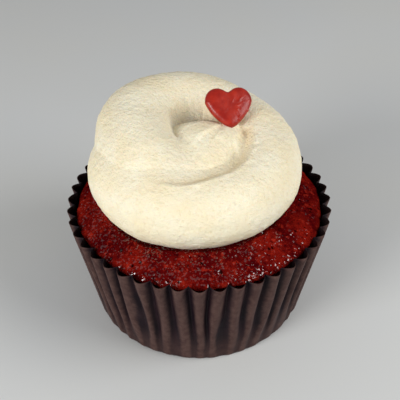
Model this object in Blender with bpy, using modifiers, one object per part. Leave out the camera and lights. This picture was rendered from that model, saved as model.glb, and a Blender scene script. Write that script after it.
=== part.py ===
"""A frosted cupcake in a fluted paper case, with a candy heart on the swirl.

Metres, +Z up. The origin is the centre of the case's base, on the surface that it stands on.
-Y is the side that the piped rope crosses first; the heart faces that way.
"""

from math import cos, pi, radians, sin

import bmesh
import bpy
import numpy as np
from mathutils import Matrix, Vector

MM = 0.001
GAP = 0.3 * MM  # clearance between two pieces that touch

# Paper case
CASE_HEIGHT = 33.0 * MM
RIM_RADIUS = 36.8 * MM  # at the tips of the flutes
BASE_RADIUS = 30.2 * MM
PAPER = 0.3 * MM
FLUTES = 44
POINTS_PER_FLUTE = 4
RIM_FLUTE_DEPTH = 2.1 * MM
BASE_FLUTE_DEPTH = 0.35 * MM
FLUTE_ROUNDNESS = 0.7  # under 1 rounds the outward lobe and sharpens the inward fold
FLUTE_GROWTH = 0.8  # under 1 deepens the flutes sooner on the way up
CASE_LEVELS = (0.0, 0.06, 0.36, 0.68, 1.0)  # shares of the height

# Cake
CAKE_FLOOR = PAPER + GAP
CAKE_EDGE_HEIGHT = 31.5 * MM
CAKE_DOME_RISE = 8.5 * MM
DOME_FLATNESS = 2.2  # over 2 flattens the middle
DOME_SHOULDER = 0.7  # under 1 rounds the edge over
CAKE_STEPS = 60
CAKE_SIDE_LEVELS = (0.7, 0.35, 0.0)  # shares of the way up from its floor to its edge
DOME_POINTS = 11
DOME_CUT_FLOOR = 20 * MM

# Frosting: one rope piped in a ring, then inwards to a peak
SWIRL_CENTRE = Vector((-1.3 * MM, -0.5 * MM, 0.0))
# turn angle in degrees from the front, counterclockwise; then millimetres: distance
# from the swirl's centre, height of the rope's middle, radius of the rope
SWIRL_STATIONS = (
    (-150, 14.5, 42.8, 8.0),
    (-120, 17.2, 44.4, 9.9),
    (-85, 18.6, 45.0, 10.4),
    (-45, 18.4, 44.6, 10.4),
    (0, 18.7, 45.1, 9.9),
    (60, 18.8, 45.8, 10.6),
    (90, 18.7, 46.8, 10.8),
    (120, 18.5, 48.0, 10.8),
    (180, 18.8, 50.3, 11.2),
    (230, 18.6, 50.4, 11.6),
    (250, 17.2, 50.2, 11.4),
    (275, 15.4, 49.5, 11.2),
    (310, 13.6, 47.4, 10.8),
    (340, 10.6, 45.4, 9.8),
    (365, 9.0, 44.8, 9.4),
    (390, 7.4, 45.6, 9.2),
    (420, 6.0, 47.8, 8.6),
    (445, 6.4, 51.4, 6.8),
    (460, 7.8, 55.2, 4.2),
    (470, 8.9, 58.6, 2.0),
    (474, 9.3, 60.2, 1.0),
)
SWIRL_POINTS_PER_STATION = 7
# what fills the swirl: (x, y, z of the middle, radius, height as a share of the radius)
FILLINGS = (
    (-1.0, 0.5, 45.6, 12.0, 0.86),
    (-1.3, 0.0, 38.0, 25.0, 0.32),
)
BALL_SEGMENTS, BALL_RINGS = 28, 18
FROSTING_VOXEL = 1.4 * MM
FROSTING_KEEP = 0.33  # share of the remeshed triangles that is kept

# Candy heart
HEART_HALF_WIDTH = 6.2 * MM
HEART_RISE = 3.6 * MM  # from its widest level up to the lobes' tops
HEART_DROP = 7.2 * MM  # from its widest level down to the tip
HEART_LOBE_MIDDLE = 0.49  # the lobes' tops, as a share of the half width
HEART_NOTCH = 0.06  # rounds the notch, as a share of the half width
HEART_TIP_WIDTH = 1.35  # over 1 widens the sides above the tip
HEART_TIP_BLUNTNESS = 0.7  # under 1 blunts the tip
HEART_POINTS = 40
HEART_THICKNESS = 3.0 * MM
HEART_EDGE_ROUND = 0.7 * MM
HEART_MIDDLE = Vector((7.9 * MM, 4.4 * MM, 62.0 * MM))  # at its widest level
HEART_FACE_ELEVATION = radians(50)
HEART_TURN = radians(14)  # towards +X


def clear_scene():
    for obj in list(bpy.data.objects):
        bpy.data.objects.remove(obj, do_unlink=True)


def new_collection(name):
    collection = bpy.data.collections.new(name)
    bpy.context.scene.collection.children.link(collection)
    return collection


def new_material(name, colour, roughness):
    material = bpy.data.materials.new(name)
    material.use_nodes = True
    shader = material.node_tree.nodes["Principled BSDF"]
    shader.inputs["Base Color"].default_value = (*colour, 1.0)
    shader.inputs["Roughness"].default_value = roughness
    shader.inputs["Metallic"].default_value = 0.0
    return material


def new_object(name, data, collection, material=None):
    obj = bpy.data.objects.new(name, data)
    collection.objects.link(obj)
    if material is not None:
        data.materials.append(material)
    return obj


def as_mesh_object(source, name, collection, material=None):
    """Replaces a curve, or an object with modifiers, by a welded mesh in its place."""
    bpy.context.view_layer.update()
    graph = bpy.context.evaluated_depsgraph_get()
    mesh = bpy.data.meshes.new_from_object(source.evaluated_get(graph))
    mesh.transform(source.matrix_world)
    bm = bmesh.new()
    bm.from_mesh(mesh)
    bmesh.ops.remove_doubles(bm, verts=bm.verts, dist=1e-6)
    bmesh.ops.recalc_face_normals(bm, faces=bm.faces)
    bm.to_mesh(mesh)
    bm.free()
    mesh.materials.clear()
    bpy.data.objects.remove(source, do_unlink=True)
    return new_object(name, mesh, collection, material)


def cut(obj, cutter):
    modifier = obj.modifiers.new("cut " + cutter.name, "BOOLEAN")
    modifier.operation = "DIFFERENCE"
    modifier.object = cutter
    modifier.solver = "EXACT"


def hide_cutter(cutter):
    cutter.hide_render = True
    cutter.display_type = "WIRE"


def wall_radius(share):
    """Radius at the flutes' tips, at a share of the case's height."""
    return BASE_RADIUS + (RIM_RADIUS - BASE_RADIUS) * share


def flute_depth(share):
    return BASE_FLUTE_DEPTH + (RIM_FLUTE_DEPTH - BASE_FLUTE_DEPTH) * share**FLUTE_GROWTH


def fluted_ring(share):
    """Points of the case's outer wall at one level, a scallop for each flute."""
    count = FLUTES * POINTS_PER_FLUTE
    around = np.arange(count) / count
    lobe = np.abs(np.sin(pi * FLUTES * around)) ** FLUTE_ROUNDNESS
    radius = wall_radius(share) - flute_depth(share) * (1.0 - lobe)
    # half a flute of turn puts a flute's tip on each axis, so that the box is centred
    angle = 2 * pi * around + pi / FLUTES
    return np.stack((radius * np.cos(angle), radius * np.sin(angle)), axis=1)


def make_paper_case(collection, material):
    """The base disc, its edge extruded upwards level by level, with Solidify for the paper."""
    bm = bmesh.new()
    bmesh.ops.create_circle(
        bm, cap_ends=True, radius=BASE_RADIUS, segments=FLUTES * POINTS_PER_FLUTE
    )
    ring = sorted(bm.verts, key=lambda vert: np.arctan2(vert.co.y, vert.co.x) % (2 * pi))
    first = fluted_ring(CASE_LEVELS[0])
    first = first[np.argsort(np.arctan2(first[:, 1], first[:, 0]) % (2 * pi))]
    for vert, (x, y) in zip(ring, first):
        vert.co = (x, y, 0.0)
    edges = list(bm.edges)
    for below, level in zip(CASE_LEVELS, CASE_LEVELS[1:]):
        made = bmesh.ops.extrude_edge_only(bm, edges=edges)["geom"]
        edges = [item for item in made if isinstance(item, bmesh.types.BMEdge)]
        verts = [item for item in made if isinstance(item, bmesh.types.BMVert)]
        edges = [edge for edge in edges if all(vert in verts for vert in edge.verts)]
        before, after = fluted_ring(below), fluted_ring(level)
        for vert in verts:
            nearest = np.argmin(np.hypot(before[:, 0] - vert.co.x, before[:, 1] - vert.co.y))
            vert.co = (after[nearest, 0], after[nearest, 1], level * CASE_HEIGHT)
    bmesh.ops.recalc_face_normals(bm, faces=bm.faces)
    mesh = bpy.data.meshes.new("paper_case")
    bm.to_mesh(mesh)
    bm.free()
    case = new_object("paper_case", mesh, collection, material)
    solidify = case.modifiers.new("paper", "SOLIDIFY")
    solidify.thickness = PAPER
    solidify.offset = -1.0
    solidify.use_even_offset = False
    return case


def dome_height(radius, outer):
    """Height of the cake's top over a distance from its axis, rounded at the edge."""
    fall = (1.0 - (radius / outer) ** DOME_FLATNESS) ** DOME_SHOULDER
    return CAKE_EDGE_HEIGHT + CAKE_DOME_RISE * fall


def cake_side(height):
    share = height / CASE_HEIGHT
    return wall_radius(share) - flute_depth(share) - PAPER - GAP


def dome_profile(lift):
    """(radius, height) from the axis out to the cake's edge."""
    outer = cake_side(CAKE_EDGE_HEIGHT)
    radii = outer * np.sin(np.linspace(0.0, pi / 2, DOME_POINTS))
    return [(radius, dome_height(radius, outer) + lift) for radius in radii]


def turned(name, profile, collection, material=None):
    """A closed profile, top to bottom on its outer side, turned about Z."""
    mesh = bpy.data.meshes.new(name)
    points = [(radius, 0.0, height) for radius, height in profile]
    mesh.from_pydata(points, [(i, i + 1) for i in range(len(points) - 1)], [])
    obj = new_object(name, mesh, collection, material)
    screw = obj.modifiers.new("turn", "SCREW")
    screw.steps = CAKE_STEPS
    screw.render_steps = CAKE_STEPS
    screw.use_merge_vertices = True
    screw.merge_threshold = 1e-6
    screw.use_smooth_shade = True
    return obj


def make_cake(collection, material):
    profile = dome_profile(0.0)
    for level in CAKE_SIDE_LEVELS:
        height = CAKE_FLOOR + (CAKE_EDGE_HEIGHT - CAKE_FLOOR) * level
        profile.append((cake_side(height), height))
    profile.append((0.0, CAKE_FLOOR))
    return turned("cake", profile, collection, material)


def make_dome_cutter(collection):
    """What the frosting's underside is cut by: everything below the dome and its gap."""
    profile = dome_profile(GAP)
    edge = profile[-1][1]
    profile += [(RIM_RADIUS, edge), (RIM_RADIUS, DOME_CUT_FLOOR), (0.0, DOME_CUT_FLOOR)]
    cutter = turned("dome_cutter", profile, collection)
    hide_cutter(cutter)
    return cutter


def swirl_path():
    """Points and radii along the rope: a Catmull-Rom curve through the stations."""
    rows = []
    for angle, distance, height, rope in SWIRL_STATIONS:
        turn = radians(angle)
        rows.append((distance * sin(turn), -distance * cos(turn), height, rope))
    rows = np.array(rows) * MM
    ends = (2 * rows[:1] - rows[1:2], rows, 2 * rows[-1:] - rows[-2:-1])
    rows = np.concatenate(ends)
    share = np.arange(SWIRL_POINTS_PER_STATION)[:, None] / SWIRL_POINTS_PER_STATION
    pieces = []
    for a, b, c, d in zip(rows, rows[1:], rows[2:], rows[3:]):
        straight = 2 * b + (c - a) * share
        bend = (2 * a - 5 * b + 4 * c - d) * share**2
        pieces.append((straight + bend + (3 * b - a - 3 * c + d) * share**3) / 2)
    pieces.append(rows[-2:-1])
    path = np.concatenate(pieces)
    return path[:, :3] + np.array(SWIRL_CENTRE), path[:, 3]


def make_rope(collection):
    """The piped rope: a round bevel along the swirl, with a ball at its blunt end."""
    points, radii = swirl_path()
    data = bpy.data.curves.new("rope", "CURVE")
    data.dimensions = "3D"
    data.bevel_depth = 1.0
    data.bevel_resolution = 5
    data.use_fill_caps = True
    spline = data.splines.new("POLY")
    spline.points.add(len(points) - 1)
    for target, point, radius in zip(spline.points, points, radii):
        target.co = (*point, 1.0)
        target.radius = radius
    return as_mesh_object(new_object("rope", data, collection), "rope", collection)


def make_ball(name, centre, radius, flatten, collection):
    bm = bmesh.new()
    bmesh.ops.create_uvsphere(bm, u_segments=BALL_SEGMENTS, v_segments=BALL_RINGS, radius=radius)
    bmesh.ops.scale(bm, vec=(1.0, 1.0, flatten), verts=bm.verts)
    bmesh.ops.translate(bm, vec=centre, verts=bm.verts)
    mesh = bpy.data.meshes.new(name)
    bm.to_mesh(mesh)
    bm.free()
    return new_object(name, mesh, collection)


def make_frosting(collection, helpers, material, dome_cutter, heart_cutter):
    """Rope, its round start and what fills it, made one skin by a voxel remesh."""
    points, radii = swirl_path()
    pieces = [make_rope(helpers), make_ball("rope_start", points[0], radii[0], 1.0, helpers)]
    for number, (x, y, z, radius, flatten) in enumerate(FILLINGS):
        middle = Vector((x, y, z)) * MM
        pieces.append(make_ball(f"filling_{number}", middle, radius * MM, flatten, helpers))
    bm = bmesh.new()
    for piece in pieces:
        bm.from_mesh(piece.data)
        bpy.data.objects.remove(piece, do_unlink=True)
    mesh = bpy.data.meshes.new("frosting")
    bm.to_mesh(mesh)
    bm.free()
    frosting = new_object("frosting", mesh, collection, material)
    remesh = frosting.modifiers.new("one skin", "REMESH")
    remesh.mode = "VOXEL"
    remesh.voxel_size = FROSTING_VOXEL
    remesh.use_smooth_shade = True
    fewer = frosting.modifiers.new("fewer faces", "DECIMATE")
    fewer.ratio = FROSTING_KEEP
    cut(frosting, dome_cutter)
    cut(frosting, heart_cutter)
    return frosting


def heart_outline(grow):
    """Two round lobes above the widest level and a blunt, full tip below it."""
    turn = 2 * pi * (np.arange(HEART_POINTS) + 0.5) / HEART_POINTS
    across = np.cos(turn)
    away = np.sqrt(across**2 + HEART_NOTCH**2) - HEART_LOBE_MIDDLE
    lobe = np.sqrt(np.maximum(1.0 - (away / (1.0 - HEART_LOBE_MIDDLE)) ** 2, 0.0))
    tip = -((1.0 - np.abs(across) ** HEART_TIP_WIDTH) ** HEART_TIP_BLUNTNESS)
    upper = (HEART_RISE + grow) * lobe
    lower = (HEART_DROP + grow) * tip
    up = np.where(turn < pi, upper, lower)
    return list(zip(across * (HEART_HALF_WIDTH + grow), up))


def heart_placement():
    """From an upright outline in XY to the leaning, turned heart on the peak."""
    lean = Matrix.Rotation(pi / 2 - HEART_FACE_ELEVATION, 4, "X")
    turn = Matrix.Rotation(HEART_TURN, 4, "Z")
    # the outline stands up before it leans back
    upright = Matrix.Rotation(pi / 2, 4, "X")
    return Matrix.Translation(HEART_MIDDLE) @ turn @ lean.inverted() @ upright


def make_heart(name, grow, collection, material=None):
    """A flat curve, extruded to the candy's thickness, whose bevel rounds the edge."""
    edge = HEART_EDGE_ROUND if grow == 0.0 else 0.0
    data = bpy.data.curves.new(name, "CURVE")
    data.dimensions = "2D"
    data.fill_mode = "BOTH"
    data.extrude = HEART_THICKNESS / 2 + grow - edge
    data.bevel_depth = edge
    data.bevel_resolution = 1
    outline = heart_outline(grow - edge)
    spline = data.splines.new("POLY")
    spline.use_cyclic_u = True
    spline.points.add(len(outline) - 1)
    for target, (x, y) in zip(spline.points, outline):
        target.co = (x, y, 0.0, 1.0)
    curve = new_object(name + " curve", data, collection)
    curve.matrix_world = heart_placement()
    return as_mesh_object(curve, name, collection, material)


def main():
    clear_scene()
    cupcake = new_collection("cupcake")
    cutters = new_collection("cutters")
    paper = new_material("brown paper", (0.085, 0.048, 0.038), 0.6)
    sponge = new_material("red sponge", (0.24, 0.012, 0.008), 0.4)
    cream = new_material("cream frosting", (0.87, 0.78, 0.58), 0.55)
    candy = new_material("red candy", (0.42, 0.012, 0.008), 0.3)

    make_paper_case(cupcake, paper)
    make_cake(cupcake, sponge)
    dome_cutter = make_dome_cutter(cutters)
    heart_cutter = make_heart("heart_cutter", GAP, cutters)
    hide_cutter(heart_cutter)
    make_frosting(cupcake, cutters, cream, dome_cutter, heart_cutter)
    make_heart("heart", 0.0, cupcake, candy)


main()
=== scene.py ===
# A cupcake in a fluted paper case: red sponge, a thick piped swirl of cream frosting
# and a small candy heart.
# Every piece is a skin of points on a grid, worked out in millimetres and stored in metres.
from math import cos, pi, radians, sin

import bpy
import numpy as np
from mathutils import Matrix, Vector


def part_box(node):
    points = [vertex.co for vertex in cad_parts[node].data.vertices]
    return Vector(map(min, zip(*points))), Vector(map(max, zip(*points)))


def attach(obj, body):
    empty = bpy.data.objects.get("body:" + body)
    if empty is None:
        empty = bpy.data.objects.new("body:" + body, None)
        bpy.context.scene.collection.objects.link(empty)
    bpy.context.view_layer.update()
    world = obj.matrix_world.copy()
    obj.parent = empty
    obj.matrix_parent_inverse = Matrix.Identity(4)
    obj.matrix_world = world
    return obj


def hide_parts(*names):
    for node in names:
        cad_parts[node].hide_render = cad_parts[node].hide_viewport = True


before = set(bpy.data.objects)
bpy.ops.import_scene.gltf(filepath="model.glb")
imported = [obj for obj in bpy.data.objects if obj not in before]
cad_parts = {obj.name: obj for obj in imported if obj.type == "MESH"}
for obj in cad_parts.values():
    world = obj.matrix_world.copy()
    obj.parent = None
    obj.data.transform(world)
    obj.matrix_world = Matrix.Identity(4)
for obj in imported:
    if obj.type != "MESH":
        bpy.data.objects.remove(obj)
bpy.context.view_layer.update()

mm = 0.001


def nodeBox(node):
    # lowest and highest corner of a CAD node, in millimetres
    low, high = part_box(node)
    return np.array(low) / mm, np.array(high) / mm


caseHigh = nodeBox("paper_case")[1]
frostingMiddle = sum(nodeBox("frosting")) / 2
heartMiddle = sum(nodeBox("heart")) / 2
tableSize = 4096  # random numbers behind each noise
cellSteps = (73856093, 19349663, 83492791)  # large primes, which scatter neighbouring cells over them


def ramp(value, low, high):
    # 0 below low, 1 above high, and an S-shaped rise between them
    share = np.clip((value - low) / (high - low), 0.0, 1.0)
    return share * share * (3.0 - 2.0 * share)


def hump(distance, width):
    # a bell curve, 1 at distance 0
    return np.exp(-((distance / width) ** 2))


def ringPoints(turn, radius, height):
    # points at that turn round the axis, that far from it and that high
    return np.stack(np.broadcast_arrays(radius * np.cos(turn), radius * np.sin(turn), height), axis=-1)


def turned(across, up, angle):
    # two coordinates, turned by that angle in their own plane
    return across * cos(angle) - up * sin(angle), across * sin(angle) + up * cos(angle)


def softNoise(points, size, seed):
    # random numbers at the corners of cubes of that size, eased smoothly between the corners: -1 to 1
    table = np.random.default_rng(seed).uniform(-1.0, 1.0, tableSize)
    at = points / size
    cell = np.floor(at).astype(np.int64)
    part = at - cell
    part = part**3 * (part * (part * 6.0 - 15.0) + 10.0)
    total = np.zeros(points.shape[:-1])
    for corner in range(8):
        step = np.array((corner & 1, corner >> 1 & 1, corner >> 2 & 1))
        x, y, z = np.moveaxis(cell + step, -1, 0)
        mixed = x * cellSteps[0] ^ y * cellSteps[1] ^ z * cellSteps[2]
        number = table[mixed & (tableSize - 1)]
        total += number * np.prod(np.where(step == 1, part, 1.0 - part), axis=-1)
    return total


def layeredNoise(points, size, seed, layers=3, fade=0.5):
    # soft noise added to itself at half the size and less height, again and again
    total = 0.0
    for layer in range(layers):
        total = total + fade**layer * softNoise(points, size / 2**layer, seed + layer)
    return total


def smoothPath(knots, steps=12):
    # a Catmull-Rom curve through the knots: rows of numbers, with that many steps between two of them
    knots = np.array(knots, float)
    rows = np.concatenate((2 * knots[:1] - knots[1:2], knots, 2 * knots[-1:] - knots[-2:-1]))
    share = np.arange(steps)[:, None] / steps
    parts = []
    for a, b, c, d in zip(rows, rows[1:], rows[2:], rows[3:]):
        bend = (2 * a - 5 * b + 4 * c - d) * share**2 + (3 * b - a - 3 * c + d) * share**3
        parts.append(b + ((c - a) * share + bend) / 2)
    return np.concatenate(parts + [knots[-1:]])


def softMax(a, b, softness):
    # the larger of two, with the corner between them rounded over that softness
    near = np.maximum(softness - np.abs(a - b), 0.0) / softness
    return np.maximum(a, b) + near * near * softness / 4.0


def skin(name, grid, topPole=None, bottomPole=None, marks=None):
    # rows of points from top to bottom, each row closed round the piece, and a point that closes either end;
    # marks are numbers for each point that a material reads by name
    rows, columns = grid.shape[:2]
    here = np.arange(rows * columns).reshape(rows, columns)
    beside = np.roll(here, -1, axis=1)
    faces = np.stack((here[:-1], here[1:], beside[1:], beside[:-1]), axis=-1).reshape(-1, 4).tolist()
    points = [grid.reshape(-1, 3)]
    total = rows * columns
    if topPole is not None:
        faces += [(total, a, b) for a, b in zip(here[0].tolist(), beside[0].tolist())]
        points.append(np.array([topPole], float))
        total += 1
    if bottomPole is not None:
        faces += [(total, b, a) for a, b in zip(here[-1].tolist(), beside[-1].tolist())]
        points.append(np.array([bottomPole], float))
        total += 1
    points = np.concatenate(points) * mm
    mesh = bpy.data.meshes.new(name)
    mesh.from_pydata(points, [], faces)
    for label, numbers in (marks or {}).items():
        values = np.zeros(total, np.float32)
        values[: rows * columns] = numbers.reshape(-1)
        mesh.attributes.new(label, "FLOAT", "POINT").data.foreach_set("value", values)
    mesh.shade_smooth()
    piece = bpy.data.objects.new(name, mesh)
    bpy.context.scene.collection.objects.link(piece)
    print(name, len(mesh.polygons), "faces")
    return piece


def settle(piece, node, material):
    # the finished piece takes the place of its CAD node on the body, with its material
    piece.data.materials.append(material)
    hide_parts(node)
    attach(piece, "root")


class Wire:
    # one output of a node; sums and products of wires add Math nodes
    def __init__(self, look, socket):
        self.look, self.socket = look, socket

    def maths(self, operation, *values):
        return self.look.node("ShaderNodeMath", {"operation": operation}, dict(enumerate(values)))

    def __add__(self, other):
        return self.maths("ADD", self, other)

    def __sub__(self, other):
        return self.maths("SUBTRACT", self, other)

    def __rsub__(self, other):
        return self.maths("SUBTRACT", other, self)

    def __mul__(self, other):
        return self.maths("MULTIPLY", self, other)

    __radd__ = __add__
    __rmul__ = __mul__

    def between(self, low, high):
        # 0 below low, 1 above high, eased between them
        settings = {"interpolation_type": "SMOOTHSTEP"}
        inputs = {"Value": self, "From Min": low, "From Max": high}
        return self.look.node("ShaderNodeMapRange", settings, inputs)


class Look:
    # a material with one main shader, and short ways to add nodes to it
    def __init__(self, name):
        self.material = bpy.data.materials.new(name)
        self.material.use_nodes = True
        self.tree = self.material.node_tree
        self.shader = self.tree.nodes["Principled BSDF"]

    def node(self, kind, settings=None, inputs=None, output=0):
        # a new node of that kind: its settings first, then the values or wires of its sockets
        made = self.tree.nodes.new(kind)
        for name, value in (settings or {}).items():
            setattr(made, name, value)
        self.fill(made, inputs or {})
        return Wire(self, made.outputs[output])

    def fill(self, made, inputs):
        for name, value in inputs.items():
            if isinstance(value, Wire):
                self.tree.links.new(value.socket, made.inputs[name])
            else:
                made.inputs[name].default_value = value

    def place(self, stretch=(1.0, 1.0, 1.0)):
        # Object coordinates, stretched along the axes
        where = self.node("ShaderNodeTexCoord", output=3)
        return self.node("ShaderNodeMapping", None, {"Vector": where, "Scale": stretch})

    def noise(self, size, detail=2.0, vector=None, roughness=0.5):
        # noise whose lumps are that many millimetres wide
        return self.node("ShaderNodeTexNoise", None, {
            "Vector": vector or self.place(),
            "Scale": 1.0 / (size * mm),
            "Detail": detail,
            "Roughness": roughness,
        })

    def mark(self, name):
        # the number that a piece's points carry under that name
        return self.node("ShaderNodeAttribute", {"attribute_name": name}, output=2)

    def mix(self, factor, first, second):
        # first where the factor is 0, second where it is 1; both are colours
        pair = [value if isinstance(value, Wire) else (*value, 1.0) for value in (first, second)]
        sockets = {0: factor, 6: pair[0], 7: pair[1]}
        return self.node("ShaderNodeMix", {"data_type": "RGBA"}, sockets, output=2)

    def bump(self, height, depth):
        # depth is in millimetres for a height of 0 to 1
        inputs = {"Height": height, "Distance": depth * mm, "Strength": 1.0}
        return self.node("ShaderNodeBump", None, inputs)


case = {
    "flutes": 44,
    "columnsPerFlute": 20,
    "rows": 40,
    "rowCrowding": 1.25,  # rows are closer together near the foot
    "baseRadius": 30.2,
    "paper": 0.22,
    "rimDepth": 2.3,  # of a flute
    "baseDepth": 0.5,
    "depthGrowth": 0.75,  # power by which the depth grows with height
    "unevenness": 0.3,  # share by which the flutes' depths differ
    "flattened": 0.35,  # least share of its depth that a flute keeps at the foot
    "flattenedUpTo": 0.42,  # share of the height
    "sway": 0.3,  # how far a flute strays sideways near the base, in flutes
    "rimSway": 0.06,
    "tipRoundness": 0.85,  # a higher power makes the inward folds wider
    "tipRoundnessBelow": 0.9,  # added to it at the foot
    "bulge": 0.35,
    "rimWaver": 0.12,  # in height
    "corner": 0.7,  # rounding at the foot
    "cornerRows": 28.0,  # the foot's rounding takes up one part in this many of the height
    "skew": 0.15,  # how far the foot sits to one side
    "floorRings": (0.35, 0.7, 0.9),  # shares of the way out
    "seed": 11,
}


def foldWave(turn, share):
    # 0 in the inward folds and 1 on the outward tips: a sine of the number of flutes passed, to a power;
    # the flutes sway and widen downwards
    around = ringPoints(turn, 9.0, share * 2.0)
    sway = case["sway"] * (1.0 - share) ** 0.8 * layeredNoise(around, 1.3, case["seed"], 2)
    rim = case["rimSway"] * softNoise(around, 1.0, case["seed"] + 5)
    count = case["flutes"] * (turn + pi / case["flutes"]) / (2 * pi) + sway + rim
    roundness = case["tipRoundness"] + case["tipRoundnessBelow"] * (1.0 - share)
    return np.abs(np.sin(pi * count)) ** roundness


def tipRadius(share):
    # the outward tips stand on a plain cone
    return case["baseRadius"] + (caseHigh[0] - case["baseRadius"]) * share


def fluteDepth(share):
    return case["baseDepth"] + (case["rimDepth"] - case["baseDepth"]) * share ** case["depthGrowth"]


def caseRadius(turn, share):
    # the tips' radius grows evenly with height, and each fold goes in from there by the flute's depth
    spot = ringPoints(turn, 6.0, share * 1.2)
    spread = case["unevenness"] * (1.0 - 0.6 * share)
    uneven = 1.0 + spread * softNoise(spot, 0.9, case["seed"] + 9)
    grown = ramp(share + 0.25 * softNoise(spot, 1.1, case["seed"] + 14), 0.0, case["flattenedUpTo"])
    fading = case["flattened"] + (1.0 - case["flattened"]) * grown
    tips = tipRadius(share) + case["skew"] * (1.0 - share) * np.cos(turn)
    bulge = case["bulge"] * (1.0 - share) * softNoise(spot, 4.0, case["seed"] + 21)
    fromFoot = np.clip(share * case["cornerRows"], 0.0, 1.0)
    foot = case["corner"] * (1.0 - np.sqrt(1.0 - (1.0 - fromFoot) ** 2))
    return tips + bulge - foot - fluteDepth(share) * uneven * fading * (1.0 - foldWave(turn, share))


def makeCase():
    # the fluted wall goes up on the inside and down on the outside, with a flat floor at both ends
    count = case["flutes"] * case["columnsPerFlute"]
    turn = (2 * pi * np.arange(count) / count)[None, :]
    share = np.linspace(0.0, 1.0, case["rows"])[:, None] ** case["rowCrowding"]
    turn, share = np.broadcast_arrays(turn, share)
    waver = case["rimWaver"] * share**6 * softNoise(ringPoints(turn, 12.0, 0.0), 1.0, case["seed"] + 2)
    height = caseHigh[2] * share + waver
    outer = caseRadius(turn, share)
    inner = outer - case["paper"]
    wave = foldWave(turn, share)
    rings = np.array(case["floorRings"])[:, None]
    innerFloor = inner[:1] * rings
    outerFloor = outer[:1] * rings[::-1]
    radius = np.concatenate((innerFloor, inner, outer[::-1], outerFloor))
    level = np.concatenate((
        np.full_like(innerFloor, case["paper"]),
        case["paper"] + height * (1.0 - case["paper"] / caseHigh[2]),
        height[::-1],
        np.zeros_like(outerFloor),
    ))
    plain = np.zeros_like(innerFloor)
    marks = {
        "fold": np.concatenate((plain, wave, wave[::-1], plain)),
        "inside": np.concatenate((np.ones_like(plain), np.ones_like(wave), np.zeros_like(wave), plain)),
        "share": np.concatenate((plain, share, share[::-1], plain)),
    }
    grid = ringPoints(turn[:1], radius, level)
    return skin("paperCase", grid, (0.0, 0.0, case["paper"]), (0.0, 0.0, 0.0), marks)


cake = {
    "columns": 760,
    "rowsShown": 84,
    "radius": 34.0,
    "hiddenRadius": 14.0,  # the frosting covers all within this
    "hiddenRings": 4,
    "edgeHeight": 31.4,
    "rise": 8.4,
    "flatness": 2.2,  # powers of the dome's curve
    "shoulder": 0.7,
    "clearance": 0.12,  # least gap from the paper
    "fluteFilling": 0.25,  # how far crumb goes into the flutes at the front
    "edgeUnevenness": ((6.0, 0.3), (1.7, 0.1)),  # size and depth
    "lumps": ((7.0, 0.30), (2.6, 0.20), (1.1, 0.16), (0.62, 0.12)),  # size and height
    "pits": 260,
    "pitRadius": (0.2, 0.62),
    "pitDepth": 1.1,  # in radii of the pit
    "moat": 0.8,  # how deep the frosting's edge presses in
    "moatWidth": 1.6,
    "sideLevels": (0.96, 0.86, 0.6, 0.3, 0.03),  # of the hidden side, as shares of the edge's height
    "moistSide": 115.0,  # degrees
    "seed": 31,
}


def cakeEdge(turn):
    # the crumb reaches the paper's inward folds, and part of the way into the flutes in places
    share = np.full_like(turn, cake["edgeHeight"] / caseHigh[2])
    wall = caseRadius(turn, share) - case["paper"]
    fold = tipRadius(share) - case["rimDepth"] - case["paper"]
    around = ringPoints(turn, 34.0, 0.0)
    front = ramp(-np.sin(turn), 0.75, 1.0)
    filling = cake["fluteFilling"] * front * (0.7 + softNoise(around, 4.0, cake["seed"]))
    uneven = 0.0
    for number, (size, deep) in enumerate(cake["edgeUnevenness"]):
        uneven = uneven + deep * softNoise(around, size, cake["seed"] + 1 + number)
    reach = fold + 0.1 + uneven + np.clip(filling, 0.0, 0.7) * (wall - fold)
    return np.minimum(reach, wall - cake["clearance"])


def domeHeight(share):
    # a low dome that rounds off towards its edge, over the share of the way out
    fall = np.clip(share, 0.0, 1.0) ** cake["flatness"]
    return cake["edgeHeight"] + cake["rise"] * (1.0 - fall) ** cake["shoulder"]


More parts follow.
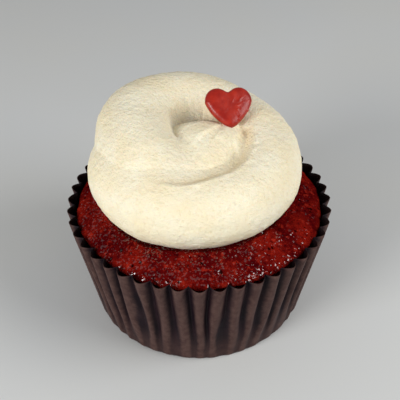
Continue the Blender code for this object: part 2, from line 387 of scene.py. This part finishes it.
def makeCake(contact):
    # a dome with lumps added and pits taken away, over a plain side that the paper hides
    rng = np.random.default_rng(cake["seed"])
    turn = 2 * pi * np.arange(cake["columns"]) / cake["columns"]
    edge = cakeEdge(turn)
    middle = np.linspace(0.15, 0.9, cake["hiddenRings"])[:, None] * cake["hiddenRadius"]
    # rows are closer together near the edge, as on a quarter circle
    outwards = np.sin(np.linspace(0.0, 1.0, cake["rowsShown"]) * pi / 2 * 0.9) / sin(pi / 2 * 0.9)
    shown = cake["hiddenRadius"] + outwards[:, None] * (edge - cake["hiddenRadius"])
    top = np.concatenate((np.broadcast_to(middle, (len(middle), len(turn))), shown))
    share = top / edge
    grid = ringPoints(turn, top, domeHeight(share))
    rough = np.zeros(top.shape)
    for number, (size, tall) in enumerate(cake["lumps"]):
        rough += tall * softNoise(grid, size, cake["seed"] + 3 * number)
    hole = np.zeros(top.shape)
    pitTurn = rng.uniform(0.0, 2 * pi, cake["pits"])
    pitOut = np.sqrt(rng.uniform(0.3, 1.0, cake["pits"])) * edge.mean()
    smallest, largest = cake["pitRadius"]
    pitRadius = smallest + (largest - smallest) * rng.uniform(0.0, 1.0, cake["pits"]) ** 2.5
    for angle, out, radius in zip(pitTurn, pitOut, pitRadius):
        away = np.hypot(grid[..., 0] - out * cos(angle), grid[..., 1] - out * sin(angle))
        hole = np.maximum(hole, radius * ramp(away, radius * 1.25, radius * 0.3))
    visible = ramp(top, cake["hiddenRadius"], cake["hiddenRadius"] + 3.0)
    # the crumb is pressed down a little where the frosting's edge rests
    moat = ramp(top - np.interp(turn, *contact), cake["moatWidth"], 0.0)
    lift = visible * (rough - cake["pitDepth"] * hole - cake["moat"] * moat)
    # lumps push upwards, and less so near the edge, where the dome is steep
    grid[..., 2] += lift * (1.0 - 0.45 * ramp(share, 0.75, 1.0))
    # the side under the edge, hidden between the edge and the paper
    sides = []
    for level in cake["sideLevels"]:
        height = cake["edgeHeight"] * level
        up = height / caseHigh[2]
        wall = tipRadius(up) - 1.3 * fluteDepth(up) - case["paper"]
        sides.append(ringPoints(turn, np.minimum(edge - 0.25, wall - 0.3), height))
    plain = np.zeros((len(sides), len(turn)))
    moist = ramp(np.cos(np.broadcast_to(turn, top.shape) + radians(cake["moistSide"])), -0.2, 0.9)
    # the pits and the pressed edge are marked for painted shade in the crumb's colour
    shown = {"moist": moist, "pit": hole, "shade": moat}
    marks = {label: np.concatenate((numbers, plain)) for label, numbers in shown.items()}
    grid = np.concatenate((grid, np.array(sides)))
    return skin("cakeTop", grid, (0.0, 0.0, domeHeight(0.0)), (0.0, 0.0, sides[-1][0, 2]), marks)


frosting = {
    "columns": 540,
    "rows": 168,
    "rowCrowding": 0.92,  # rows are closer together on top, where the folds are
    "eye": (-0.2, 0.0, 40.0),  # the point that the skin is worked out around
    "lowest": 104.0,  # degrees down from straight up, where the skin meets the cake
    "ropeMiddle": -0.5,  # y of the rope's own axis
    # the piped rope: degrees round from the front, distance from the axis, height, radius of the rope
    "innerFrom": 300.0,  # degrees, after which the rope lies inside its first turn
    "rope": (
        (-150, 14.5, 42.8, 8.0),
        (-120, 17.2, 44.4, 9.8),
        (-85, 18.6, 44.9, 10.3),
        (-45, 18.3, 44.5, 10.4),
        (0, 18.5, 45.0, 9.7),
        (60, 18.6, 45.6, 10.2),
        (90, 18.2, 46.6, 10.3),
        (120, 17.9, 47.8, 10.2),
        (150, 17.7, 48.9, 10.4),
        (180, 18.7, 50.2, 10.9),
        (205, 19.0, 50.6, 11.2),
        (230, 18.8, 50.7, 11.5),
        (250, 17.0, 50.2, 11.2),
        (275, 15.0, 49.3, 11.0),
        (310, 13.4, 47.2, 10.6),
        (340, 10.8, 45.2, 9.8),
        (365, 9.8, 44.6, 9.4),
        (390, 7.8, 44.8, 9.2),
    ),
    "hill": (  # the rope's end, drawn up to a peak: x, y, height, radius
        (0.5, -4.5, 45.6, 11.0),
        (1.6, -1.8, 48.8, 9.4),
        (4.4, -1.6, 50.2, 7.6),
        (6.6, -1.0, 52.0, 5.4),
        (7.6, -0.2, 53.5, 3.8),
        (7.9, 1.0, 54.8, 2.8),
        (7.8, 2.2, 57.4, 2.1),
        (7.9, 3.3, 59.0, 1.3),
    ),
    "hillTop": 6,  # the knot of the hill that the heart's tip stands on
    # flattened balls that fill the hollow: x, y, height, radius, flattening
    "fillings": ((-5.2, 0.2, 44.4, 11.2, 0.96), (-1.3, 0.0, 38.0, 25.0, 0.32)),
    "fillingSoftness": 2.5,
    "ropeSoftness": 2.0,
    "hollowSoftness": (1.0, 11.0),  # outside, and added on top
    "hillSoftness": (3.0, 1.5),  # everywhere, and added towards the hollow
    "crease": (  # where the rope's end meets the ring, seen from above
        (-12.5, -19.0),
        (-8.5, -19.7),
        (-4.1, -20.4),
        (-0.8, -19.8),
        (4.0, -17.9),
        (8.0, -15.8),
        (10.7, -12.6),
        (12.4, -8.2),
        (13.4, -4.3),
        (13.3, 0.3),
        (13.2, 2.1),
    ),
    "drop": 1.7,  # of the ring behind the crease
    "dropWidth": (6.0, 0.4),  # behind the crease and in front of it
    "groove": 0.45,
    "grooveWidth": 0.5,
    "lip": 0.28,
    "lipWaver": 0.22,
    "lipWidth": 0.8,
    "strands": 0.28,  # height of the fine ridges under the heart
    "dents": ((-3.3, 10.9, 0.9, 0.8), (13.1, 2.4, 0.8, 0.7)),  # x, y, radius, depth
    "unevenness": 0.22,
    "dimples": 0.11,
    "underside": (0.97, 0.8, 0.55, 0.3),  # rings under it, as shares of the way out
    "sunk": 0.1,  # how far the underside lies in the cake's dome
    "seed": 51,
}


def ropeReach(aim, balls, flatten=1.0):
    # how far a ray from the eye goes before it leaves the last of the balls; 0 where it meets none
    reach = np.zeros(aim.shape[:-1])
    eye = np.array(frosting["eye"])
    squash = np.array((1.0, 1.0, 1.0 / flatten))
    stretched = aim * squash
    length = (stretched**2).sum(axis=-1)
    for x, y, z, radius in balls:
        centre = (np.array((x, y, z)) - eye) * squash
        along = stretched @ centre / length
        inside = along**2 - ((centre**2).sum() - radius**2) / length
        far = along + np.sqrt(np.maximum(inside, 0.0))
        reach = np.maximum(reach, np.where(inside > 0.0, far, 0.0))
    return reach


def ropeBalls():
    # a ball at each step along the rope's spiral, and the degrees round at which it lies
    path = smoothPath(frosting["rope"], 14)
    turn, out = np.radians(path[:, 0]), path[:, 1]
    x = frostingMiddle[0] + out * np.sin(turn)
    y = frosting["ropeMiddle"] - out * np.cos(turn)
    return np.stack((x, y, path[:, 2], path[:, 3]), axis=-1), path[:, 0]


def nearPath(points, knots):
    # distance of each point from a curve seen from above, how far along it, and the side: positive is
    # outside. The nearest point of each straight step is found, and the nearest of those is kept
    path = smoothPath(knots, 10)
    best = np.full(points.shape[:-1], 1e9)
    along = np.zeros_like(best)
    side = np.zeros_like(best)
    for number in range(len(path) - 1):
        start, step = path[number], path[number + 1] - path[number]
        offset = points[..., :2] - start
        share = np.clip((offset @ step) / (step @ step), 0.0, 1.0)
        away = offset - share[..., None] * step
        distance = np.hypot(away[..., 0], away[..., 1])
        closer = distance < best
        best = np.where(closer, distance, best)
        along = np.where(closer, (number + share) / (len(path) - 1), along)
        side = np.where(closer, np.sign(step[1] * offset[..., 0] - step[0] * offset[..., 1]), side)
    return best, along, side


def creasePlace(points):
    # distance from the crease, how far along it, which points lie inside it, and a fade at its ends
    distance, along, side = nearPath(points, frosting["crease"])
    ends = ramp(along, 0.0, 0.3) * ramp(along, 1.0, 0.9)
    return distance, ramp(along, 0.5, 0.72), side < 0, ends


def frostingSkin():
    # rays from the eye, each as long as the rope, its end and what fills it reach, and then the folds on top
    columns, rows = frosting["columns"], frosting["rows"]
    turn = (2 * pi * np.arange(columns) / columns)[None, :]
    step = (np.arange(1, rows + 1) / rows) ** frosting["rowCrowding"]
    down = (radians(frosting["lowest"]) * step)[:, None]
    out = np.sin(down)
    aim = ringPoints(turn, out, np.cos(down))
    balls, angle = ropeBalls()
    ring = ropeReach(aim, balls[angle < frosting["innerFrom"]])
    inner = ropeReach(aim, balls[angle >= frosting["innerFrom"]])
    hill = ropeReach(aim, smoothPath(frosting["hill"], 10))
    fill = 0.0
    for x, y, z, radius, flatten in frosting["fillings"]:
        fill = softMax(fill, ropeReach(aim, [(x, y, z, radius)], flatten), frosting["fillingSoftness"])
    eye = np.array(frosting["eye"])
    # the ring drops away behind a crease, where the end of the rope lies in it
    upper = ramp(down, radians(72), radians(58))
    distance, curled, within, ends = creasePlace(eye + ring[..., None] * aim)
    behind, before = frosting["dropWidth"]
    drop = frosting["drop"] * (1.0 + 0.5 * curled) * upper * ends
    ring = ring - drop * np.where(within, hump(distance, behind), hump(distance, before))
    # the hollow's sides run in softly, and the outside of the ring stays round
    least, more = frosting["hollowSoftness"]
    soft = least + more * ramp(down, radians(66), radians(50))
    reach = softMax(softMax(ring, inner, frosting["ropeSoftness"]), fill, soft)
    least, more = frosting["hillSoftness"]
    towardsHollow = ramp(out * np.cos(turn - radians(150)), -0.2, 0.3)
    reach = softMax(reach, hill, least + more * towardsHollow)
    grid = eye + reach[..., None] * aim
    # a groove along the crease and a lip outside it
    distance, curled, within, ends = creasePlace(grid)
    strength = (1.0 + 1.4 * curled) * ends
    uneven = frosting["lip"] + frosting["lipWaver"] * softNoise(grid, 1.6, frosting["seed"] + 1)
    lip = uneven * np.where(within, 0.0, hump(distance - 0.9, frosting["lipWidth"]))
    lift = upper * strength * (lip - frosting["groove"] * hump(distance, frosting["grooveWidth"]))
    # fine ridges fan out from the peak, where the cream was drawn up
    peak = np.array(frosting["hill"][frosting["hillTop"]])
    fan = np.arctan2(grid[..., 1] - peak[1], grid[..., 0] - peak[0])
    away = np.hypot(grid[..., 0] - peak[0], grid[..., 1] - peak[1])
    spread = np.stack((fan * 7.0, away * 0.12, np.zeros_like(fan)), axis=-1)
    strands = softNoise(spread, 1.0, frosting["seed"] + 4) * ramp(away, 0.8, 3.0) * ramp(away, 16.0, 9.0)
    lift = lift + upper * frosting["strands"] * strands * within
    for x, y, radius, depth in frosting["dents"]:
        lift = lift - upper * depth * hump(np.hypot(grid[..., 0] - x, grid[..., 1] - y), radius)
    # soft unevenness of the cream, and small dimples
    lift = lift + frosting["unevenness"] * softNoise(grid, 7.0, frosting["seed"] + 2)
    lift = lift + frosting["dimples"] * layeredNoise(grid, 1.5, frosting["seed"] + 7, 2, 0.6)
    grid = grid + lift[..., None] * aim
    # painted shade along the crease, mostly on its inner side, for the cream's colour
    creaseShade = upper * ends * np.where(within, hump(distance, 2.4), hump(distance, 0.45))
    print("frosting worked out,", grid.shape[0], "rows of", grid.shape[1])
    return grid, creaseShade


def contactRing(grid):
    # for each column of the frosting, the turn and the distance from the axis where it meets the dome
    out = np.hypot(grid[..., 0], grid[..., 1])
    under = grid[..., 2] < domeHeight(out / cake["radius"])
    first = np.argmax(under & (np.arange(len(grid))[:, None] > len(grid) // 2), axis=0)
    column = np.arange(grid.shape[1])
    at = grid[first, column]
    turn = np.arctan2(at[:, 1], at[:, 0]) % (2 * pi)
    order = np.argsort(turn)
    return turn[order], out[first, column][order]


def makeFrosting(grid, creaseShade):
    # the skin closed by rings underneath, which lie on the cake's dome
    last = grid[-1]
    under = []
    for share in frosting["underside"]:
        x, y = last[:, 0] * share, last[:, 1] * share
        z = domeHeight(np.hypot(x, y) / cake["radius"]) - frosting["sunk"]
        under.append(np.stack((x, y, z), axis=-1))
    marks = {"crease": np.concatenate((creaseShade, np.zeros((len(under), creaseShade.shape[1]))))}
    top = (*frosting["eye"][:2], grid[0, :, 2].mean())
    bottom = (0.0, 0.0, domeHeight(0.0) - frosting["sunk"])
    return skin("frostingSwirl", np.concatenate((grid, np.array(under))), top, bottom, marks)


heart = {
    "columns": 220,
    "rows": 44,
    "halfWidth": 6.3,
    "rise": 3.65,  # of the lobes above the widest level
    "drop": 7.3,  # of the tip below it
    "tipWidth": 1.35,  # powers of the tip's curve
    "tipBluntness": 0.7,
    "lobeAt": 0.49,  # middle of a lobe, as a share of the half width
    "notch": 0.12,  # rounding of the notch between the lobes
    "thickness": 3.1,
    "fullness": 0.62,  # a lower power makes its rim rounder
    "elevation": 50.0,  # degrees that its face looks up
    "turn": 14.0,
    "roll": -5.0,  # in its own plane
    "bumps": 22,
    "bumpAcross": (0.6, 5.0),
    "bumpUp": (-5.0, 2.6),
    "bumpRadius": (0.16, 0.34),
    "bumpHeight": (0.08, 0.22),
    "seed": 71,
}


def heartOutline(turn):
    # round lobes above the widest level, and a blunt, full tip below it
    across = np.cos(turn)
    away = np.sqrt(across**2 + heart["notch"] ** 2) - heart["lobeAt"]
    lobe = np.sqrt(np.maximum(1.0 - (away / (1.0 - heart["lobeAt"])) ** 2, 0.0))
    tip = -((1.0 - np.abs(across) ** heart["tipWidth"]) ** heart["tipBluntness"])
    up = np.where(turn < pi, heart["rise"] * lobe, heart["drop"] * tip)
    return across * heart["halfWidth"], up


def makeHeart():
    # the outline drawn in towards both faces like the sections of a cushion, with small bumps on the front
    rng = np.random.default_rng(heart["seed"])
    turn = 2 * pi * (np.arange(heart["columns"]) + 0.5) / heart["columns"]
    x, y = heartOutline(turn)
    y = y + (heart["drop"] - heart["rise"]) / 2
    lean = np.linspace(0.0, pi, heart["rows"] + 2)[1:-1][:, None]
    scale = np.sin(lean) ** heart["fullness"]
    face = np.sign(np.cos(lean)) * heart["thickness"] / 2 * (1.0 - scale**6) ** 0.5
    grid = np.stack(np.broadcast_arrays(x * scale, y * scale, face), axis=-1)
    # outwards, and mostly along the thickness
    outwards = grid * (0.35, 0.35, 1.6)
    length = np.maximum(np.linalg.norm(outwards, axis=-1), 0.3)
    lift = 0.05 * softNoise(grid, 3.0, heart["seed"]) + 0.01 * softNoise(grid, 0.8, heart["seed"] + 1)
    for _ in range(heart["bumps"]):
        bumpX, bumpY = rng.uniform(*heart["bumpAcross"]), rng.uniform(*heart["bumpUp"])
        radius, tall = rng.uniform(*heart["bumpRadius"]), rng.uniform(*heart["bumpHeight"])
        away = np.hypot(grid[..., 0] - bumpX, grid[..., 1] - bumpY)
        lift = lift + np.where(grid[..., 2] > 0, tall * hump(away, radius), 0.0)
    grid = grid + (lift / length)[..., None] * outwards
    # rolled in its own plane, leant back from upright, and turned
    across, up = turned(grid[..., 0], grid[..., 1], radians(heart["roll"]))
    back, up = turned(up, grid[..., 2], radians(90.0 - heart["elevation"]))
    across, back = turned(across, back, radians(heart["turn"]))
    grid = heartMiddle + np.stack((across, back, up), axis=-1)
    return skin("candyHeart", grid, grid[0].mean(axis=0), grid[-1].mean(axis=0))


paper = {
    "ridge": ((0.056, 0.026, 0.023), (0.092, 0.050, 0.042)),
    # the folds' colours: partly painted shade, partly oil soaked into the paper
    "valley": ((0.006, 0.002, 0.005), (0.016, 0.006, 0.009)),
    # inside: painted shade over the case's inside
    "inside": (0.004, 0.002, 0.003),
    "fibreDepth": 0.05,
}


def paperLook():
    # lighter on the flutes' tips; dark in the folds, partly as painted shade and partly as oil soaked into
    # the paper; and darker still inside, as painted shade
    look = Look("greaseproofPaper")
    fold, inside, share = look.mark("fold"), look.mark("inside"), look.mark("share")
    mottle = look.noise(1.6, 4.0, roughness=0.6)
    soaked = look.noise(7.0, 2.0).between(0.35, 0.7)
    ridge = look.mix(mottle.between(0.3, 0.7), *paper["ridge"])
    valley = look.mix(soaked, *paper["valley"])
    out = (fold + mottle * 0.3 - 0.15).between(0.3, 0.95)
    low = share.between(0.4, 0.05) * 0.5
    # painted shade in the folds, less of it near the foot where the folds are shallow
    colour = look.mix(out + low * (1.0 - out), valley, ridge)
    fibres = look.noise(0.5, 3.0, look.place((1.0, 1.0, 0.35)))
    look.fill(look.shader, {
        # the case's inside is painted almost black, as painted shade
        "Base Color": look.mix(inside * 0.9, colour, paper["inside"]),
        "Roughness": 0.45 + 0.2 * mottle,
        "Normal": look.bump(fibres, paper["fibreDepth"]),
        "Specular IOR Level": 0.1,
    })
    return look.material


crumb = {
    "broad": ((0.085, 0.0014, 0.0022), (0.215, 0.0080, 0.0042)),
    "light": (0.38, 0.024, 0.012),
    "dark": (0.035, 0.001, 0.003),
    # pit: painted shade inside the crumb's pits
    "pit": (0.020, 0.0008, 0.0012),
    "shade": (0.030, 0.0008, 0.001),
    "grainDepth": 1.5,
    "glintAbove": 0.72,  # of the noise that sets where the moist spots lie
    "moreWhereWet": 0.16,
}


def crumbLook():
    # broad and fine patches of red, painted shade in the pits and under the frosting's edge, and small
    # glossy spots where the crumb is moist
    look = Look("redCrumb")
    broad = look.noise(8.0, 3.0)
    fine = look.noise(1.35, 3.0, roughness=0.65)
    grain = look.noise(0.45, 2.0)
    base = look.mix(broad.between(0.35, 0.68), *crumb["broad"])
    base = look.mix(fine.between(0.52, 0.7) * 0.7, base, crumb["light"])
    base = look.mix(fine.between(0.46, 0.3) * 0.85, base, crumb["dark"])
    # painted shade in the pits
    base = look.mix(look.mark("pit").between(0.08, 0.45), base, crumb["pit"])
    base = look.mix(look.mark("shade") * 0.8, base, crumb["shade"])
    wet = look.noise(5.0, 2.0).between(0.4, 0.6) * 0.3 + look.mark("moist") * 0.7
    threshold = crumb["glintAbove"] - crumb["moreWhereWet"] * wet
    look.fill(look.shader, {
        "Base Color": base,
        "Roughness": 0.35 + 0.4 * grain,
        "Normal": look.bump(fine * 0.6 + grain * 0.4, crumb["grainDepth"]),
        "Coat Weight": (look.noise(0.6, 1.0) - threshold).between(0.0, 0.03),
        "Coat Roughness": 0.2,
        "Coat IOR": 1.9,
        "Specular IOR Level": 0.0,
    })
    return look.material


cream = {
    "broad": ((0.91, 0.805, 0.565), (0.94, 0.87, 0.67)),
    # streak: painted shade in the low parts of the streaks' bump
    "streak": (0.82, 0.67, 0.42),
    # crease: painted shade along the crease, where the rope's end meets the ring
    "crease": (0.78, 0.58, 0.30),
    # dimple: painted shade in the low parts of the dimples' bump
    "dimple": (0.80, 0.66, 0.40),
    "depth": 0.65,
}


def creamLook():
    # pale cream, with painted shade in the low parts of its streaks and dimples, and the most painted shade,
    # warm in hue, along the crease
    look = Look("creamFrosting")
    broad = look.noise(9.0, 2.0)
    streak = look.noise(1.1, 3.0, look.place((1.0, 1.0, 2.2)), roughness=0.6)
    speck = look.noise(0.5, 2.0)
    dimple = look.noise(1.0, 2.0, roughness=0.6)
    base = look.mix(broad.between(0.3, 0.7), *cream["broad"])
    # painted shade where the streaks' bump is low
    base = look.mix(streak.between(0.42, 0.3) * 0.35, base, cream["streak"])
    # painted shade along the crease
    base = look.mix(look.mark("crease") * 0.5, base, cream["crease"])
    # painted shade where the dimples' bump is low
    base = look.mix(dimple.between(0.46, 0.3) * 0.35, base, cream["dimple"])
    height = streak * 0.4 + dimple * 0.4 + speck * 0.2
    look.fill(look.shader, {
        "Base Color": base,
        "Roughness": 0.44 + 0.2 * speck,
        "Normal": look.bump(height, cream["depth"]),
        "Specular IOR Level": 0.3,
        "Subsurface Weight": 0.15,
        "Subsurface Radius": (1.0, 0.7, 0.4),
        "Subsurface Scale": 2.0 * mm,
    })
    return look.material


candy = {
    "red": ((0.29, 0.007, 0.002), (0.42, 0.018, 0.005)),
    "grainDepth": 0.06,
}


def candyLook():
    # a clouded red with uneven gloss
    look = Look("redCandy")
    cloud = look.noise(2.2, 3.0)
    speck = look.noise(0.5, 2.0)
    look.fill(look.shader, {
        "Base Color": look.mix(cloud.between(0.3, 0.7), *candy["red"]),
        "Roughness": 0.2 + 0.25 * cloud,
        "Normal": look.bump(speck, candy["grainDepth"]),
        "Specular IOR Level": 0.45,
    })
    return look.material


# lengths here are in metres
stage = {
    "floorReach": 3.0,
    "floorLight": (0.64, 0.66, 0.675),
    "floorWarm": (0.66, 0.66, 0.63),
    "worldLight": 0.28,
    "keyFrom": (-0.42, -0.40, 0.27),
    "keySize": 0.30,
    "keyPower": 2.7,
    "fillFrom": (0.45, -0.15, 0.34),
    "fillSize": 0.45,
    "fillPower": 2.1,
    "aimHeight": 0.0325,
    "distance": 0.2249,
    "elevation": 39.3,
    "cameraTurn": -0.08,
    "lens": 72.0,
}


def addLamp(name, place, size, power, aim):
    # a round soft lamp at that place, facing the aim
    data = bpy.data.lights.new(name, "AREA")
    data.shape = "DISK"
    data.size = size
    data.energy = power
    lamp = bpy.data.objects.new(name, data)
    lamp.location = place
    lamp.rotation_euler = (Vector(aim) - Vector(place)).to_track_quat("-Z", "Y").to_euler()
    bpy.context.scene.collection.objects.link(lamp)


def makeStage():
    # a pale floor, an even white surround, two white lamps and the camera
    mesh = bpy.data.meshes.new("floor")
    reach = stage["floorReach"]
    corners = [(-reach, -reach, 0), (reach, -reach, 0), (reach, reach, 0), (-reach, reach, 0)]
    mesh.from_pydata(corners, [], [(0, 1, 2, 3)])
    floor = bpy.data.objects.new("floor", mesh)
    bpy.context.scene.collection.objects.link(floor)
    look = Look("paleFloor")
    colour = look.mix(look.noise(60.0, 2.0), stage["floorLight"], stage["floorWarm"])
    look.fill(look.shader, {"Base Color": colour, "Roughness": 0.7})
    mesh.materials.append(look.material)
    world = bpy.data.worlds.new("studio")
    world.use_nodes = True
    background = world.node_tree.nodes["Background"]
    background.inputs["Color"].default_value = (1.0, 1.0, 1.0, 1.0)
    background.inputs["Strength"].default_value = stage["worldLight"]
    bpy.context.scene.world = world
    aim = (0.0, 0.0, stage["aimHeight"])
    addLamp("key", stage["keyFrom"], stage["keySize"], stage["keyPower"], aim)
    addLamp("fill", stage["fillFrom"], stage["fillSize"], stage["fillPower"], aim)
    data = bpy.data.cameras.new("camera")
    data.lens = stage["lens"]
    data.clip_start = 0.01
    camera = bpy.data.objects.new("camera", data)
    lift = radians(stage["elevation"])
    camera.location = Vector(aim) + stage["distance"] * Vector((0.0, -cos(lift), sin(lift)))
    camera.rotation_euler = (pi / 2 - lift, 0.0, radians(stage["cameraTurn"]))
    bpy.context.scene.collection.objects.link(camera)
    bpy.context.scene.camera = camera
    bpy.context.scene.view_settings.view_transform = "Standard"
    print("stage ready")


makeStage()
settle(makeCase(), "paper_case", paperLook())
creamGrid, creamCreaseShade = frostingSkin()
settle(makeCake(contactRing(creamGrid)), "cake", crumbLook())
settle(makeFrosting(creamGrid, creamCreaseShade), "frosting", creamLook())
settle(makeHeart(), "heart", candyLook())
